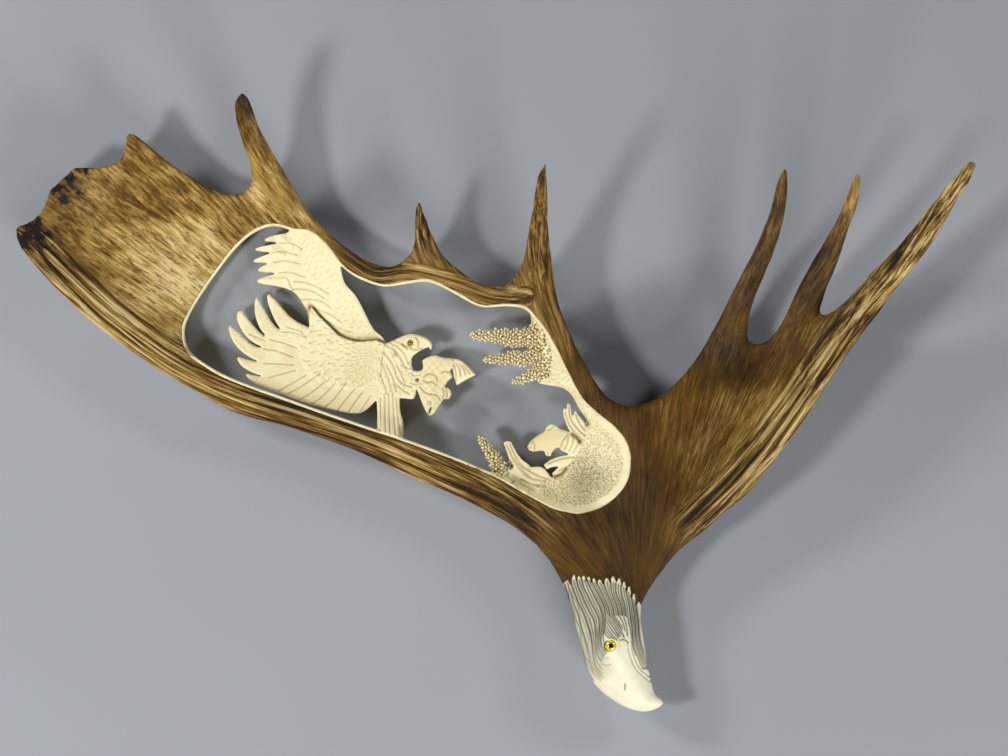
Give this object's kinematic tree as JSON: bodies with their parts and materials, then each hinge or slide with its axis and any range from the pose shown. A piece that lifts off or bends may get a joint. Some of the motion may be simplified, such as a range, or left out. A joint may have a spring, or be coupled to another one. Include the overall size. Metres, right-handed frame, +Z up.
{
  "type": "carved antler",
  "caption": "Moose antler lying on its back, its broad palm pierced with a carved eagle, fish and spruces, and its stem carved as an eagle's head with glass eyes.",
  "frame": {"origin": "centre of the box round the antler, on the surface that it lies on", "axes": "+X to the right along the antler's length, from the main palm's tip to the brow palm's longest tine; +Y up the picture, from the eagle's beak to the tine tips; +Z up from the surface that it lies on, towards the hollow side of the palms"},
  "size_m": [0.8602, 0.556, 0.1311],
  "materials": {
    "palm_bone": "tan weathered antler, worn smooth, with dark streaks along the grain",
    "brow_bone": "brown furrowed antler with a soft waxed shine on the ridges",
    "stem_bone": "brown antler above, carved and sanded to ivory white at the eagle's head",
    "eye_glass": "polished yellow glass with a black pupil",
    "bead_glass": "polished yellow bead with a dark pupil"
  },
  "bodies": {
    "root": {"main_palm": "palm_bone", "brow_palm": "brow_bone", "eagle_head_beam": "stem_bone", "glass_eye_front": "eye_glass", "glass_eye_back": "eye_glass", "flyer_eye": "bead_glass"}
  },
  "joints": []
}
